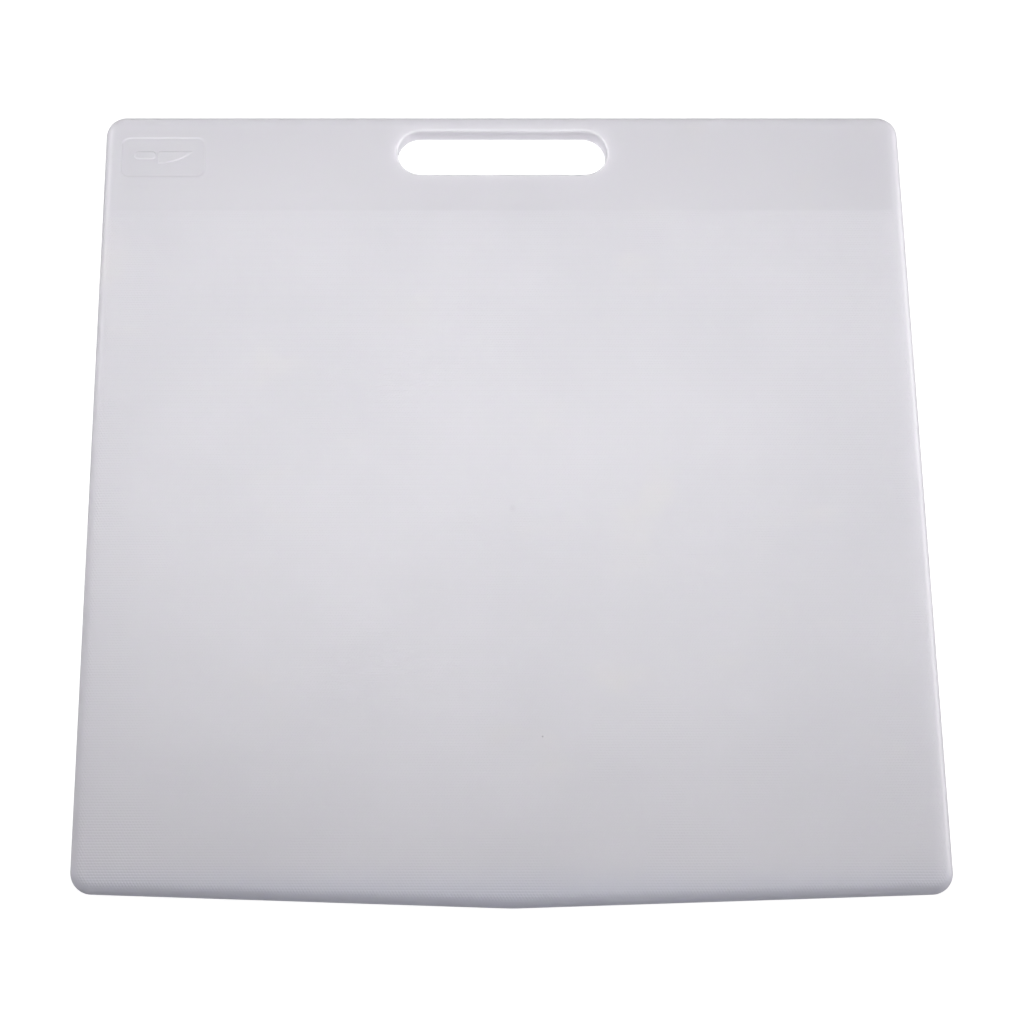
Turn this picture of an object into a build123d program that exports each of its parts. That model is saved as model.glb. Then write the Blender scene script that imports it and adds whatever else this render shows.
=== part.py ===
from build123d import *
import os

# One-piece moulded plastic cutting board. Millimetres, +Z up.
# The origin is under the middle of the board, on the face it rests on.
# X runs across the board, +Y points to the hand slot, -Y to the blunt point of the front edge.

# Slab
BOARD_WIDTH = 355.6
SIDE_LENGTH = 340.0
POINT_DEPTH = 5.7
THICKNESS = 9.5
CORNER_RADIUS = 9.0
POINT_RADIUS = 100.0
EDGE_ROUNDING = 4.3

# Hand slot, through the board near its back edge
SLOT_LENGTH = 93.6
SLOT_WIDTH = 20.7
SLOT_TO_BACK_EDGE = 8.1
SLOT_ROUNDING = 1.0

# Shallow sunk panel with a raised plain knife symbol, in the back left corner of the top face
PANEL_WIDTH = 38.0
PANEL_HEIGHT = 19.5
PANEL_RADIUS = 4.0
PANEL_DEPTH = 0.25
PANEL_TO_SIDE = 7.5
PANEL_TO_BACK_EDGE = 11.0
BLADE_LENGTH = 15.0
BLADE_WIDTH = 5.5
GRIP_LENGTH = 9.5
GRIP_WIDTH = 3.4
GRIP_GAP = 1.2

# Two lengths that differ by less than this are the same
SAME = 0.01

# Places worked out from the sizes above
BOARD_LENGTH = SIDE_LENGTH + POINT_DEPTH
BACK_Y = BOARD_LENGTH / 2
FRONT_CORNER_Y = BACK_Y - SIDE_LENGTH
SIDE_X = BOARD_WIDTH / 2
SLOT_Y = BACK_Y - SLOT_TO_BACK_EDGE - SLOT_WIDTH / 2
PANEL_X = PANEL_TO_SIDE + PANEL_WIDTH / 2 - SIDE_X
PANEL_Y = BACK_Y - PANEL_TO_BACK_EDGE - PANEL_HEIGHT / 2


def outline():
    """The slab's outline: a near-square whose front edge comes to a blunt point, with its corners rounded."""
    corners = [
        (SIDE_X, BACK_Y),
        (-SIDE_X, BACK_Y),
        (-SIDE_X, FRONT_CORNER_Y),
        (0, FRONT_CORNER_Y - POINT_DEPTH),
        (SIDE_X, FRONT_CORNER_Y),
    ]
    shape = make_face(Polyline(*corners, close=True))
    point = shape.vertices().sort_by(Axis.Y)[0]
    shape = fillet(point, POINT_RADIUS)
    square_corners = shape.vertices().filter_by(lambda v: abs(abs(v.X) - SIDE_X) < SAME)
    return fillet(square_corners, CORNER_RADIUS)


def face_edges(body):
    """The edges that lie in the underside and in the top face."""
    levels = body.edges().group_by(Axis.Z)
    return levels[0] + levels[-1]


def slab():
    """The plain slab, with its top and bottom edges rounded all the way round."""
    body = extrude(outline(), THICKNESS)
    return fillet(face_edges(body), EDGE_ROUNDING)


def slot_hole():
    """The hole of the hand slot, with straight walls."""
    return Pos(0, SLOT_Y) * extrude(SlotOverall(SLOT_LENGTH, SLOT_WIDTH), THICKNESS)


def on_slot_rim(edge):
    """Whether an edge lies round the mouth of the hand slot."""
    middle = edge.center()
    reach_x = SLOT_LENGTH / 2 + SLOT_ROUNDING / 2
    reach_y = SLOT_WIDTH / 2 + SLOT_ROUNDING / 2
    return abs(middle.X) < reach_x and abs(middle.Y - SLOT_Y) < reach_y


def knife_symbol():
    """A plain knife seen from the side: a blade with a curved edge and a round-ended grip."""
    heel_x = (GRIP_LENGTH + GRIP_GAP - BLADE_LENGTH) / 2
    tip_x = heel_x + BLADE_LENGTH
    spine_y = BLADE_WIDTH / 2
    spine = Line((heel_x, spine_y), (tip_x, spine_y))
    heel = Line((heel_x, spine_y), (heel_x, -spine_y))
    cutting_edge = TangentArc((heel_x, -spine_y), (tip_x, spine_y), tangent=(1, 0))
    blade = make_face([spine, heel, cutting_edge])
    grip_x = heel_x - GRIP_GAP - GRIP_LENGTH / 2
    grip = Pos(grip_x, spine_y - GRIP_WIDTH / 2) * SlotOverall(GRIP_LENGTH, GRIP_WIDTH)
    return [blade, grip]


def symbol_panel():
    """The pocket of the sunk panel, less the symbol that stands in it up to the top face."""
    place = Pos(PANEL_X, PANEL_Y, THICKNESS - PANEL_DEPTH)
    pocket = extrude(RectangleRounded(PANEL_WIDTH, PANEL_HEIGHT, PANEL_RADIUS), PANEL_DEPTH)
    for shape in knife_symbol():
        pocket -= extrude(shape, PANEL_DEPTH)
    return place * pocket


def board():
    """The whole board: the slab, less its hand slot and its sunk panel."""
    body = slab() - slot_hole()
    body = fillet(face_edges(body).filter_by(on_slot_rim), SLOT_ROUNDING)
    return body - symbol_panel()


os.makedirs("parts", exist_ok=True)
export_step(board(), "parts/board.step")
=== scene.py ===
import math

import bmesh
import bpy
import numpy as np
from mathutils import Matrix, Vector
from mathutils.geometry import delaunay_2d_cdt


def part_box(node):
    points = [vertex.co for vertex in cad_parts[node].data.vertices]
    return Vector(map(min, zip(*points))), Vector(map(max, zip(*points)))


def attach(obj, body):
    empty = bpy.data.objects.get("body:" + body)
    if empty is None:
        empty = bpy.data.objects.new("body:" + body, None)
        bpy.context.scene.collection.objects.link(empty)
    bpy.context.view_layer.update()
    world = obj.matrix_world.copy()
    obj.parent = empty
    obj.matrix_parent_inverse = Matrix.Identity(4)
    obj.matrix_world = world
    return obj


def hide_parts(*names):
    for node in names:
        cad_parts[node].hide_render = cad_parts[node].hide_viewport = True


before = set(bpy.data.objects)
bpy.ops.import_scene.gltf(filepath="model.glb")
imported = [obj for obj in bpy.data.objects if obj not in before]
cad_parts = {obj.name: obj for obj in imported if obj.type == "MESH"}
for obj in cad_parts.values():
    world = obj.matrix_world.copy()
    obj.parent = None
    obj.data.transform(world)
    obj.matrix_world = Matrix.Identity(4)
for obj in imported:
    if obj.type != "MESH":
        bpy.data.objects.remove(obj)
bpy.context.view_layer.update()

# Sizes in metres. +X runs across the board, +Y to its hand slot and +Z up, as in the frame.
MM = 0.001
high_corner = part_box("board")[1]
SIDE_X = high_corner[0]
BACK_Y = high_corner[1]
TOP_Z = high_corner[2]

# Slab
SIDE_LENGTH = 340 * MM
POINT_DEPTH = 5.7 * MM
CORNER_RADIUS = 9 * MM
POINT_RADIUS = 100 * MM
EDGE_ROUNDING = 4.3 * MM
EDGE_REACH = 6 * MM
FRONT_CORNER_Y = BACK_Y - SIDE_LENGTH

# Hand slot
SLOT_LENGTH = 93.6 * MM
SLOT_WIDTH = 20.7 * MM
SLOT_TO_BACK_EDGE = 8.1 * MM
SLOT_ROUNDING = 1 * MM
SLOT_Y = BACK_Y - SLOT_TO_BACK_EDGE - SLOT_WIDTH / 2

# Sunk panel with its raised knife symbol
PANEL_WIDTH = 38 * MM
PANEL_HEIGHT = 19.5 * MM
PANEL_RADIUS = 4 * MM
PANEL_DEPTH = 0.25 * MM
PANEL_SLOPE = 0.9 * MM
SYMBOL_SLOPE = 0.5 * MM
PANEL_TO_SIDE = 7.5 * MM
PANEL_TO_BACK_EDGE = 11 * MM
PANEL_X = PANEL_TO_SIDE + PANEL_WIDTH / 2 - SIDE_X
PANEL_Y = BACK_Y - PANEL_TO_BACK_EDGE - PANEL_HEIGHT / 2
PATCH_MARGIN = 1 * MM
PATCH_STEP = 0.2 * MM
BLADE_LENGTH = 15 * MM
BLADE_WIDTH = 5.5 * MM
GRIP_LENGTH = 9.5 * MM
GRIP_WIDTH = 3.4 * MM
GRIP_GAP = 1.2 * MM

# Dotted cutting field, which ends at a tiny step before the smooth grip band
GRIP_BAND = 46.3 * MM
FIELD_Y = BACK_Y - GRIP_BAND
STEP_HEIGHT = 0.15 * MM
STEP_WIDTH = 0.6 * MM
STEP_FADE = 2.5 * MM
FIELD_STOPS = (FIELD_Y - STEP_WIDTH / 2, FIELD_Y + STEP_WIDTH / 2)
DOT_PITCH = 1.27 * MM
DOT_HEIGHT = 0.05 * MM
DOTS_IN_ROW = 0.4
DOTS_END = (0.35, 0.62)
EDGE_DOT_HEIGHT = 0.085 * MM

# Mesh spacing
CORNER_PARTS = 14
POINT_PARTS = 4
EDGE_STEP = 5 * MM
RIM_PARTS = 9
GRID_STEP = 6 * MM
SLIVER_AREA = 1e-4 * MM * MM
SAME_POINT = 1e-7
WELD_DISTANCE = MM / 500


def arc(centre, radius, start, end, parts):
    """Points on a round stretch, both ends included."""
    angles = np.linspace(start, end, parts + 1)
    return centre + radius * np.stack([np.cos(angles), np.sin(angles)], 1)


def corner_arcs():
    """The outline's round corners, anticlockwise: (arc centre, radius, start angle, end angle, parts)."""
    corners = [
        ((-SIDE_X, BACK_Y), CORNER_RADIUS),
        ((-SIDE_X, FRONT_CORNER_Y), CORNER_RADIUS),
        ((0, FRONT_CORNER_Y - POINT_DEPTH), POINT_RADIUS),
        ((SIDE_X, FRONT_CORNER_Y), CORNER_RADIUS),
        ((SIDE_X, BACK_Y), CORNER_RADIUS),
    ]
    arcs = []
    for i, (corner, radius) in enumerate(corners):
        here = np.array(corner)
        back = np.array(corners[i - 1][0]) - here
        ahead = np.array(corners[(i + 1) % len(corners)][0]) - here
        back = back / np.linalg.norm(back)
        ahead = ahead / np.linalg.norm(ahead)
        half = math.acos(np.clip(back @ ahead, -1, 1)) / 2
        inward = (back + ahead) / np.linalg.norm(back + ahead)
        centre = here + inward * radius / math.sin(half)
        middle = math.atan2(-inward[1], -inward[0])
        turn = math.pi / 2 - half
        parts = POINT_PARTS if radius == POINT_RADIUS else CORNER_PARTS
        arcs.append((centre, radius, middle - turn, middle + turn, parts))
    return arcs


def between(start, end, step, stops=()):
    """Points on a straight stretch, its ends left out, about step apart, and one at the y of each stop."""
    count = max(int(np.linalg.norm(end - start) / step), 1)
    shares = set(np.linspace(0, 1, count + 1)[1:-1])
    for y in stops:
        rise = end[1] - start[1]
        share = (y - start[1]) / rise if abs(rise) > SIDE_LENGTH / 2 else 0
        if 0 < share < 1:
            shares = {s for s in shares if abs(s - share) * abs(rise) > step / 4} | {share}
    return start + np.outer(sorted(shares), end - start)


def outline(inset):
    """The slab's outline, moved inwards by inset. Every inset gives the same number of points."""
    arcs = corner_arcs()
    points = []
    for i, (centre, radius, start, end, parts) in enumerate(arcs):
        here = arc(centre, radius - inset, start, end, parts)
        next_centre, next_radius, next_start = arcs[(i + 1) % len(arcs)][:3]
        ahead = next_centre + (next_radius - inset) * np.array([math.cos(next_start), math.sin(next_start)])
        points += [here, between(here[-1], ahead, EDGE_STEP, FIELD_STOPS)]
    return np.concatenate(points)


def slot_outline(outset):
    """The hand slot's outline, moved outwards by outset."""
    radius = SLOT_WIDTH / 2
    reach = SLOT_LENGTH / 2 - radius
    left = arc((-reach, SLOT_Y), radius + outset, math.pi / 2, math.pi * 3 / 2, CORNER_PARTS * 2)
    right = arc((reach, SLOT_Y), radius + outset, -math.pi / 2, math.pi / 2, CORNER_PARTS * 2)
    return np.concatenate([
        left, between(left[-1], right[0], EDGE_STEP),
        right, between(right[-1], left[0], EDGE_STEP),
    ])


def rim_profile(rounding, reach):
    """(inset, z, rolled) down a rounded edge, from reach in on the top face to rounding in on the underside.

    rolled is 0 where the edge meets a face and 1 at the outline."""
    turns = np.linspace(0, math.pi / 2, RIM_PARTS + 1)
    rolled = np.sin(turns)
    drop = rounding * (1 - np.cos(turns))
    top = list(zip(reach * (1 - rolled), TOP_Z - drop, rolled))
    under = list(zip(rounding * (1 - rolled), drop, rolled))
    return top + under[::-1]


def smooth_step(value, start, end):
    """0 at start and 1 at end, with a smooth turn at each."""
    share = np.clip((value - start) / (end - start), 0, 1)
    return share * share * (3 - 2 * share)


def outline_depth(x, y):
    """How far a point lies inside the slab's outline."""
    slope = POINT_DEPTH / SIDE_X
    front = (y - FRONT_CORNER_Y + POINT_DEPTH - np.abs(x) * slope) / math.hypot(1, slope)
    end = np.minimum(BACK_Y - y, front)
    side = SIDE_X - np.abs(x)
    nearest = np.minimum(side, end)
    past = np.hypot(np.maximum(CORNER_RADIUS - side, 0), np.maximum(CORNER_RADIUS - end, 0))
    return np.where(nearest < CORNER_RADIUS, CORNER_RADIUS - past, nearest)


def field_share(y):
    """1 on the cutting field's side of the step, 0 on the grip band's."""
    return 1 - smooth_step(y, *FIELD_STOPS)


def face_height(x, y):
    """How far the cutting face stands proud there: the field's tiny step, gone before the edges."""
    inside = smooth_step(outline_depth(x, y), EDGE_REACH, EDGE_REACH + STEP_FADE)
    return STEP_HEIGHT * field_share(y) * inside


def box_distance(x, y, width, height, radius):
    """Distance to a rounded rectangle round the origin, negative inside it."""
    across = np.abs(x) - width / 2 + radius
    up = np.abs(y) - height / 2 + radius
    outside = np.hypot(np.maximum(across, 0), np.maximum(up, 0))
    return outside + np.minimum(np.maximum(across, up), 0) - radius


def knife_distance(x, y):
    """Distance to the knife symbol, negative inside it: a blade with a curved edge and a rounded grip."""
    heel_x = (GRIP_LENGTH + GRIP_GAP - BLADE_LENGTH) / 2
    spine_y = BLADE_WIDTH / 2
    radius = (BLADE_LENGTH ** 2 + BLADE_WIDTH ** 2) / (2 * BLADE_WIDTH)
    edge = np.hypot(x - heel_x, y + spine_y - radius) - radius
    blade = np.maximum(np.maximum(heel_x - x, y - spine_y), edge)
    grip_x = heel_x - GRIP_GAP - GRIP_LENGTH / 2
    grip_y = spine_y - GRIP_WIDTH / 2
    grip = box_distance(x - grip_x, y - grip_y, GRIP_LENGTH, GRIP_WIDTH, GRIP_WIDTH / 2)
    return np.minimum(blade, grip)


def panel_height(x, y):
    """The sunk panel's floor, its sloped walls and the symbol that stands in it."""
    pocket = 1 - smooth_step(box_distance(x, y, PANEL_WIDTH, PANEL_HEIGHT, PANEL_RADIUS), -PANEL_SLOPE, 0)
    symbol = 1 - smooth_step(knife_distance(x, y), -SYMBOL_SLOPE / 2, SYMBOL_SLOPE / 2)
    return -PANEL_DEPTH * pocket * (1 - symbol)


def patch_lines():
    """The x and y lines of the fine grid that holds the sunk panel."""
    reach_x = PANEL_WIDTH / 2 + PATCH_MARGIN
    reach_y = PANEL_HEIGHT / 2 + PATCH_MARGIN
    xs = np.linspace(-reach_x, reach_x, int(2 * reach_x / PATCH_STEP) + 1)
    ys = np.linspace(-reach_y, reach_y, int(2 * reach_y / PATCH_STEP) + 1)
    return xs, ys


def patch_outline():
    """The fine grid's border, anticlockwise."""
    xs, ys = patch_lines()
    sides = [
        np.stack([xs[:-1], np.full(len(xs) - 1, ys[0])], 1),
        np.stack([np.full(len(ys) - 1, xs[-1]), ys[:-1]], 1),
        np.stack([xs[:0:-1], np.full(len(xs) - 1, ys[-1])], 1),
        np.stack([np.full(len(ys) - 1, xs[0]), ys[:0:-1]], 1),
    ]
    return np.concatenate(sides) + (PANEL_X, PANEL_Y)


class Skin:
    """The mesh under construction: points, faces, how dotted each point is and if it is on a top edge."""

    def __init__(self):
        self.points = []
        self.faces = []
        self.dotted = []
        self.edge = []

    def add_points(self, x, y, z, dotted, edge=0):
        first = len(self.points)
        self.points += list(zip(x, y, z))
        self.dotted += list(dotted)
        self.edge += [edge] * len(x)
        return first

    def add_band(self, first, second, count):
        """Joins two closed rings of count points."""
        for i in range(count):
            j = (i + 1) % count
            self.faces.append((first + i, second + i, second + j, first + j))


def add_rim(skin, ring, rounding, reach):
    """A rounded edge from the top face to the underside, dotted on its first roll. ring gives its points."""
    firsts = []
    for inset, z, rolled in rim_profile(rounding, reach):
        points = ring(inset)
        x, y = points.T
        dotted = field_share(y) * (1 - smooth_step(rolled, *DOTS_END))
        sharp = float(rolled > 0 and z > TOP_Z / 2)
        firsts.append(skin.add_points(x, y, np.full(len(x), z), dotted, edge=sharp))
    for upper, lower in zip(firsts, firsts[1:]):
        skin.add_band(upper, lower, len(points))


def grid_points(borders):
    """Points spread over a face, clear of its borders, with a row along each side of the field's step."""
    columns = np.arange(-SIDE_X, SIDE_X, GRID_STEP)
    rows = np.arange(FRONT_CORNER_Y, BACK_Y, GRID_STEP)
    rows = rows[np.abs(rows - FIELD_Y) > GRID_STEP / 2]
    rows = np.concatenate([rows, FIELD_STOPS])
    x, y = (a.ravel() for a in np.meshgrid(columns, rows))
    clear = outline_depth(x, y) > EDGE_REACH + GRID_STEP / 2
    spread = np.stack([x, y], 1)
    for border in borders:
        gap = np.linalg.norm(spread[:, None] - border[None], axis=2).min(1)
        clear &= gap > GRID_STEP / 2
    return spread[clear]


def add_flat(skin, z, facing, inset, holes):
    """A flat face inside its outline, moved in by inset, less its holes."""
    loops = [outline(inset)] + holes
    points = []
    edges = []
    for loop in loops:
        first = len(points)
        points += [Vector(p) for p in loop]
        edges += [(first + i, first + (i + 1) % len(loop)) for i in range(len(loop))]
    # Points where the step has its full height, then an edge along each side of the step
    step_foot = outline(EDGE_REACH + STEP_FADE)
    step_foot = step_foot[step_foot[:, 1] < FIELD_STOPS[0]]
    step_reach = step_foot[:, 0].max()
    for y in FIELD_STOPS:
        edges.append((len(points), len(points) + 1))
        points += [Vector((-step_reach, y)), Vector((step_reach, y))]
    points += [Vector(p) for p in (*step_foot, *grid_points([step_foot] + holes))]
    verts, _, faces, *_ = delaunay_2d_cdt(points, edges, [], 0, SAME_POINT)
    x, y = np.array([tuple(v) for v in verts]).T
    height = face_height(x, y) if facing > 0 else 0 * x
    first = skin.add_points(x, y, z + height, field_share(y))
    for face in faces:
        triangle = np.array([(x[i], y[i]) for i in face])
        middle = triangle.mean(0)
        across, up = triangle[1:] - triangle[0]
        sliver = abs(across[0] * up[1] - across[1] * up[0]) < SLIVER_AREA
        if sliver or any(inside(middle, hole) for hole in holes) or not inside(middle, loops[0]):
            continue
        corners = [first + i for i in face]
        skin.faces.append(tuple(corners if facing > 0 else reversed(corners)))


def inside(point, loop):
    """Whether a point lies inside a closed loop of points."""
    x, y = point
    x0, y0 = loop.T
    x1, y1 = np.roll(loop, -1, 0).T
    crosses = (y0 > y) != (y1 > y)
    with np.errstate(divide="ignore", invalid="ignore"):
        at = x0 + (y - y0) * (x1 - x0) / (y1 - y0)
    return np.count_nonzero(crosses & (x < at)) % 2 == 1


def add_panel(skin):
    """The fine grid that holds the sunk panel and its symbol."""
    xs, ys = patch_lines()
    x, y = (a.ravel() for a in np.meshgrid(xs, ys))
    z = TOP_Z + panel_height(x, y)
    first = skin.add_points(x + PANEL_X, y + PANEL_Y, z, np.zeros(len(x)))
    for row in range(len(ys) - 1):
        for column in range(len(xs) - 1):
            corner = first + row * len(xs) + column
            skin.faces.append((corner, corner + 1, corner + 1 + len(xs), corner + len(xs)))


def make_board():
    """The whole board as one closed mesh. Its attributes "dotted" and "edge" steer the material's dots."""
    skin = Skin()
    add_rim(skin, outline, EDGE_ROUNDING, EDGE_REACH)
    add_rim(skin, lambda inset: slot_outline(inset)[::-1], SLOT_ROUNDING, SLOT_ROUNDING)
    slot_mouth = slot_outline(SLOT_ROUNDING)
    add_flat(skin, TOP_Z, 1, EDGE_REACH, [slot_mouth, patch_outline()])
    add_flat(skin, 0, -1, EDGE_ROUNDING, [slot_mouth])
    add_panel(skin)
    mesh = bpy.data.meshes.new("board_skin")
    mesh.from_pydata([tuple(map(float, p)) for p in skin.points], [], skin.faces)
    for name, values in (("dotted", skin.dotted), ("edge", skin.edge)):
        attribute = mesh.attributes.new(name, "FLOAT", "POINT")
        attribute.data.foreach_set("value", np.array(values, np.float32))
    build = bmesh.new()
    build.from_mesh(mesh)
    bmesh.ops.remove_doubles(build, verts=build.verts, dist=WELD_DISTANCE)
    bmesh.ops.delete(build, geom=[v for v in build.verts if not v.link_faces], context="VERTS")
    bmesh.ops.recalc_face_normals(build, faces=build.faces)
    build.to_mesh(mesh)
    build.free()
    mesh.shade_smooth()
    board = bpy.data.objects.new("cutting_board", mesh)
    bpy.context.scene.collection.objects.link(board)
    weighted = board.modifiers.new("flat_faces_lead", "WEIGHTED_NORMAL")
    weighted.keep_sharp = True
    return board


# Materials


class Nodes:
    """Short calls for a material's nodes. A value is a number, a tuple or a node's output."""

    def __init__(self, material):
        material.use_nodes = True
        self.material = material
        self.tree = material.node_tree
        self.shader = self.tree.nodes["Principled BSDF"]

    def put(self, socket, value):
        if isinstance(value, bpy.types.NodeSocket):
            self.tree.links.new(value, socket)
        elif value is not None:
            socket.default_value = value

    def node(self, kind, inputs=(), output=0, **settings):
        made = self.tree.nodes.new(kind)
        for name, value in settings.items():
            setattr(made, name, value)
        for name, value in dict(inputs).items():
            self.put(made.inputs[name], value)
        return made.outputs[output]

    def math(self, operation, first, second=None, third=None):
        values = {i: v for i, v in enumerate((first, second, third)) if v is not None}
        return self.node("ShaderNodeMath", values, operation=operation)

    def place(self):
        return self.node("ShaderNodeTexCoord", output="Object")

    def along(self, direction):
        """A dot product of the place with a direction."""
        vectors = {0: self.place(), 1: direction}
        return self.node("ShaderNodeVectorMath", vectors, output="Value", operation="DOT_PRODUCT")

    def noise(self, size, detail=2.0, stretch=(1, 1, 1)):
        """Soft noise from 0 to 1 whose blotches are about size across."""
        mapped = self.node("ShaderNodeMapping", {"Vector": self.place(), "Scale": stretch})
        inputs = {"Vector": mapped, "Scale": 1 / size, "Detail": detail}
        return self.node("ShaderNodeTexNoise", inputs, output="Fac")

    def ramp(self, value, low, high, start=0.0, end=1.0, smooth=True):
        """Carries low..high to start..end."""
        kind = "SMOOTHSTEP" if smooth else "LINEAR"
        inputs = {"Value": value, "From Min": low, "From Max": high, "To Min": start, "To Max": end}
        return self.node("ShaderNodeMapRange", inputs, interpolation_type=kind)

    def mix(self, share, first, second):
        inputs = {"Factor": share, 6: first, 7: second}
        return self.node("ShaderNodeMix", inputs, output=2, data_type="RGBA")


# Colours of the plastic and its patches, a bluer, darker painted shade along the front edge, and how far
# that painted shade reaches back from the front corners
PLASTIC_WHITE = (0.664, 0.655, 0.690, 1)
PLASTIC_GREYER = (0.645, 0.637, 0.673, 1)
PLASTIC_WARMER = (0.668, 0.657, 0.678, 1)
# Painted shade: the bluer, darker colour the front edge is given, standing in for the dimmer, cooler light
# there
PAINTED_FRONT_SHADE_COLOUR = (0.617, 0.622, 0.686, 1)
PAINTED_FRONT_SHADE_REACH = 16 * MM
SPECK_COLOUR = (0.30, 0.29, 0.31, 1)
GREY_PATCH = 90 * MM
WARM_PATCH = 40 * MM

# Tone and roughness of the smooth and the dotted skin, and how deep light scatters
SMOOTH_TONE = 0.98
SMOOTH_ROUGHNESS = 0.32
DOTTED_ROUGHNESS = 0.42
ROUGHNESS_DRIFT = 0.02
ROUGHNESS_PATCH = 8 * MM
SCATTER_DISTANCE = 8 * MM

# Relief besides the dots: a fine grain and a slow waviness
GRAIN_SIZE = 0.5 * MM
GRAIN_HEIGHT = 0.006 * MM
WAVE_SIZE = 45 * MM
WAVE_HEIGHT = 0.5 * MM

# A faint smudge and a tiny dark speck in the plastic: x, distance from the back edge, radius, strength
SPECKS = (
    (2.3 * MM, 181.7 * MM, 2.4 * MM, 0.1),
    (13.2 * MM, 277.5 * MM, 0.6 * MM, 1),
)


def dot_lattice(nodes, apart):
    """The moulded dots: a lattice in rows along X, 1 on each dot. apart: 0 for ridges, 1 for single dots."""
    step = 2 * math.pi / DOT_PITCH
    lean = 1 / math.sqrt(3)
    total = 0
    for direction, share in (((0, 2 * lean, 0), 1), ((1, -lean, 0), apart), ((1, lean, 0), apart)):
        wave = nodes.math("COSINE", nodes.along(tuple(step * d for d in direction)))
        total = nodes.math("MULTIPLY_ADD", wave, share, total)
    highest = nodes.math("MULTIPLY_ADD", apart, 2, 1)
    return nodes.ramp(nodes.math("DIVIDE", total, highest), -0.5, 1, smooth=False)


def speck_share(nodes):
    """Each speck's strength in its middle, 0 away from them."""
    total = None
    for x, from_back, radius, strength in SPECKS:
        centre = (x, BACK_Y - from_back, TOP_Z)
        vectors = {0: nodes.place(), 1: centre}
        gap = nodes.node("ShaderNodeVectorMath", vectors, output="Value", operation="DISTANCE")
        spot = nodes.ramp(gap, radius, 0, 0, strength)
        total = spot if total is None else nodes.math("MAXIMUM", total, spot)
    return total


def plastic_colour(nodes, dotted):
    """White polyethylene, greyer and warmer in patches, with a bluer, darker painted shade towards the front
    edge, and darker where it is smooth.
    """
    grey = nodes.ramp(nodes.noise(GREY_PATCH), 0.35, 0.7)
    warm = nodes.ramp(nodes.noise(WARM_PATCH, stretch=(1, 1.3, 1)), 0.6, 0.8)
    base = nodes.mix(grey, PLASTIC_WHITE, PLASTIC_GREYER)
    base = nodes.mix(warm, base, PLASTIC_WARMER)
    # Painted shade: the colour turns bluer and darker over the last stretch before the front edge
    front = nodes.ramp(nodes.along((0, 1, 0)), FRONT_CORNER_Y + PAINTED_FRONT_SHADE_REACH, FRONT_CORNER_Y - POINT_DEPTH)
    base = nodes.mix(front, base, PAINTED_FRONT_SHADE_COLOUR)
    tone = nodes.ramp(dotted, 0, 1, SMOOTH_TONE, 1, smooth=False)
    base = nodes.node("ShaderNodeVectorMath", {"Vector": base, "Scale": tone}, operation="SCALE")
    return nodes.mix(speck_share(nodes), base, SPECK_COLOUR)


def plastic_height(nodes, dotted, edge):
    """The skin's relief in metres: dots, sharper by the edge, a fine grain and a slow waviness."""
    lattice = dot_lattice(nodes, nodes.ramp(edge, 0, 1, DOTS_IN_ROW, 1))
    dot_height = nodes.ramp(edge, 0, 1, DOT_HEIGHT, EDGE_DOT_HEIGHT)
    dots = nodes.math("MULTIPLY", nodes.math("MULTIPLY", lattice, dotted), dot_height)
    grain = nodes.math("MULTIPLY", nodes.noise(GRAIN_SIZE, detail=3), GRAIN_HEIGHT)
    wave = nodes.math("MULTIPLY", nodes.noise(WAVE_SIZE, detail=1), WAVE_HEIGHT)
    return nodes.math("ADD", nodes.math("ADD", dots, grain), wave)


def white_plastic():
    """Slightly translucent white plastic, smooth on the grip band and dotted on the field."""
    nodes = Nodes(bpy.data.materials.new("white_polyethylene"))
    dotted = nodes.node("ShaderNodeAttribute", output="Fac", attribute_name="dotted")
    edge = nodes.node("ShaderNodeAttribute", output="Fac", attribute_name="edge")
    shader = nodes.shader.inputs
    nodes.put(shader["Base Color"], plastic_colour(nodes, dotted))
    patches = nodes.noise(ROUGHNESS_PATCH, detail=4)
    uneven = nodes.ramp(patches, 0.3, 0.7, -ROUGHNESS_DRIFT, ROUGHNESS_DRIFT)
    roughness = nodes.ramp(dotted, 0, 1, SMOOTH_ROUGHNESS, DOTTED_ROUGHNESS, smooth=False)
    nodes.put(shader["Roughness"], nodes.math("ADD", roughness, uneven))
    shader["Subsurface Weight"].default_value = 1.0
    shader["Subsurface Radius"].default_value = (1.0, 0.95, 1.0)
    shader["Subsurface Scale"].default_value = SCATTER_DISTANCE
    shader["IOR"].default_value = 1.5
    height = plastic_height(nodes, dotted, edge)
    bump = nodes.node("ShaderNodeBump", {"Height": height, "Distance": 1.0, "Strength": 1.0})
    nodes.put(shader["Normal"], bump)
    return nodes.material


def glowing_white(name, tone, glow):
    """A matt white stage surface that glows, like a light table. tone is its lit white."""
    nodes = Nodes(bpy.data.materials.new(name))
    shader = nodes.shader.inputs
    lighter = tuple(channel * STAGE_DRIFT for channel in tone[:3]) + (1,)
    nodes.put(shader["Base Color"], nodes.mix(nodes.noise(STAGE_PATCH), tone, lighter))
    shader["Roughness"].default_value = 0.9
    shader["Specular IOR Level"].default_value = 0.0
    shader["Emission Color"].default_value = (1, 1, 1, 1)
    shader["Emission Strength"].default_value = glow
    return nodes.material


# Stage

FLOOR_RADIUS = 9.0
BACKDROP_HEIGHT = 5.0
STAGE_TONE = (0.25, 0.25, 0.25, 1)
STAGE_GLOW = 0.96
STAGE_DRIFT = 1.02
STAGE_PATCH = 400 * MM
STAGE_PARTS = 96
CAMERA_TARGET = (-0.0376, -0.0035, 0)
CAMERA_DISTANCE = 0.6864
CAMERA_ELEVATION = 76.4
CAMERA_FOCAL = 56.25
CAMERA_SHIFT = (0.0916, -0.0105)
CAMERA_SIGHT = 50

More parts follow.
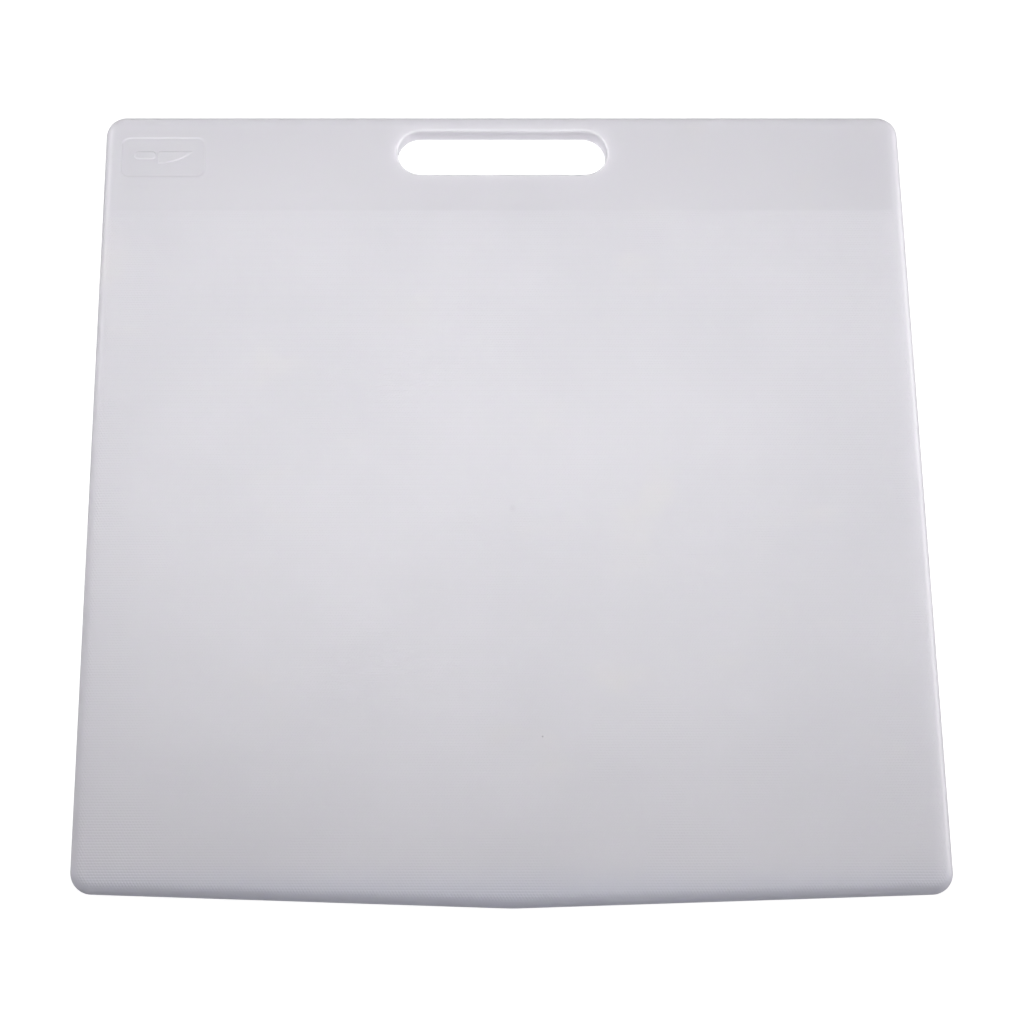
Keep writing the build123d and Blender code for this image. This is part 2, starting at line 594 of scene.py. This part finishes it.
# Lamps round the board: name, place, size, power in watts, target
PANELS = (
    ("overhead_left", (-0.32, 0.14, 0.5), (0.4, 0.4), 1.3, (-0.32, 0.14, 0)),
    ("overhead_middle", (0, 0.1, 0.5), (0.4, 0.4), 1.95, (0, 0.1, 0)),
    ("overhead_right", (0.32, 0.06, 0.5), (0.4, 0.4), 1.15, (0.32, 0.06, 0)),
    ("left_panel", (-0.7, 0.4, 0.3), (0.4, 0.3), 1.35, (0, 0.28, 0)),
    ("right_panel", (0.7, 0.1, 0.12), (0.6, 0.15), 1.75, (0, 0, 0)),
)

# Weak lamps in the hand slot, in watts: a strip for its back wall and one for each end, with the end's side
SLOT_STRIP_POWER = 0.0014
SLOT_ENDS = (("slot_left", -1, 0.0003), ("slot_right", 1, 0.00025))


def add_stage(name, build, material, lights_board):
    """Adds a stage surface that stays out of the board's gloss, and lights it only where asked."""
    mesh = bpy.data.meshes.new(name)
    build.to_mesh(mesh)
    build.free()
    mesh.materials.append(material)
    surface = bpy.data.objects.new(name, mesh)
    bpy.context.scene.collection.objects.link(surface)
    surface.visible_diffuse = lights_board
    surface.visible_shadow = lights_board
    surface.visible_glossy = False


def make_floor():
    """A pale floor at the height of the board's underside."""
    build = bmesh.new()
    bmesh.ops.create_circle(build, cap_ends=True, segments=STAGE_PARTS, radius=FLOOR_RADIUS)
    add_stage("floor", build, glowing_white("pale_floor", STAGE_TONE, STAGE_GLOW), True)


def make_backdrop():
    """A pale wall round the floor, behind everything in the low views."""
    build = bmesh.new()
    radii = {"radius1": FLOOR_RADIUS, "radius2": FLOOR_RADIUS}
    bmesh.ops.create_cone(build, segments=STAGE_PARTS, depth=BACKDROP_HEIGHT, **radii)
    bmesh.ops.translate(build, verts=build.verts, vec=(0, 0, BACKDROP_HEIGHT / 2))
    add_stage("backdrop", build, glowing_white("pale_backdrop", STAGE_TONE, STAGE_GLOW), False)


def aim(thing, place, target):
    """Puts a light or camera at a place, looking at a target."""
    thing.location = place
    direction = Vector(target) - Vector(place)
    thing.rotation_euler = direction.to_track_quat("-Z", "Y").to_euler()


def softbox(name, place, size, power, target):
    """A soft white panel of the given power in watts."""
    lamp = bpy.data.lights.new(name, "AREA")
    lamp.shape = "RECTANGLE"
    lamp.size, lamp.size_y = size
    lamp.energy = power
    light = bpy.data.objects.new(name, lamp)
    bpy.context.scene.collection.objects.link(light)
    aim(light, place, target)
    light.visible_camera = False


def make_lights():
    """Three overhead panels and a low panel at each side."""
    for panel in PANELS:
        softbox(*panel)


def light_slot():
    """A strip that lifts the hand slot's back wall and a small panel that lifts each of its ends."""
    strip_size = (0.9 * SLOT_LENGTH, 3 * MM)
    strip_place = (0, SLOT_Y - 3 * MM, 5 * MM)
    softbox("slot_strip", strip_place, strip_size, SLOT_STRIP_POWER, (0, BACK_Y, 7 * MM))
    end_x = SLOT_LENGTH / 2 - 8 * MM
    for name, side, power in SLOT_ENDS:
        target = (side * SIDE_X, SLOT_Y + 30 * MM, 20 * MM)
        softbox(name, (side * end_x, SLOT_Y, 3 * MM), (3 * MM, 8 * MM), power, target)


def make_camera():
    """The camera, in front of the board and high above it. CAMERA_ELEVATION is in degrees."""
    camera = bpy.data.objects.new("camera", bpy.data.cameras.new("camera"))
    bpy.context.scene.collection.objects.link(camera)
    tilt = math.radians(CAMERA_ELEVATION)
    back = Vector((0, -math.cos(tilt), math.sin(tilt))) * CAMERA_DISTANCE
    aim(camera, Vector(CAMERA_TARGET) + back, CAMERA_TARGET)
    camera.data.lens = CAMERA_FOCAL
    camera.data.shift_x, camera.data.shift_y = CAMERA_SHIFT
    camera.data.clip_end = CAMERA_SIGHT
    bpy.context.scene.camera = camera


def make_world():
    """Dark, so that only the lamps and the floor light the board."""
    world = bpy.data.worlds.new("studio")
    world.use_nodes = True
    world.node_tree.nodes["Background"].inputs["Strength"].default_value = 0.0
    bpy.context.scene.world = world


board = make_board()
board.data.materials.append(white_plastic())
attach(board, "root")
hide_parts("board")

make_floor()
make_backdrop()
make_lights()
light_slot()
make_world()
make_camera()
bpy.context.scene.view_settings.view_transform = "Standard"
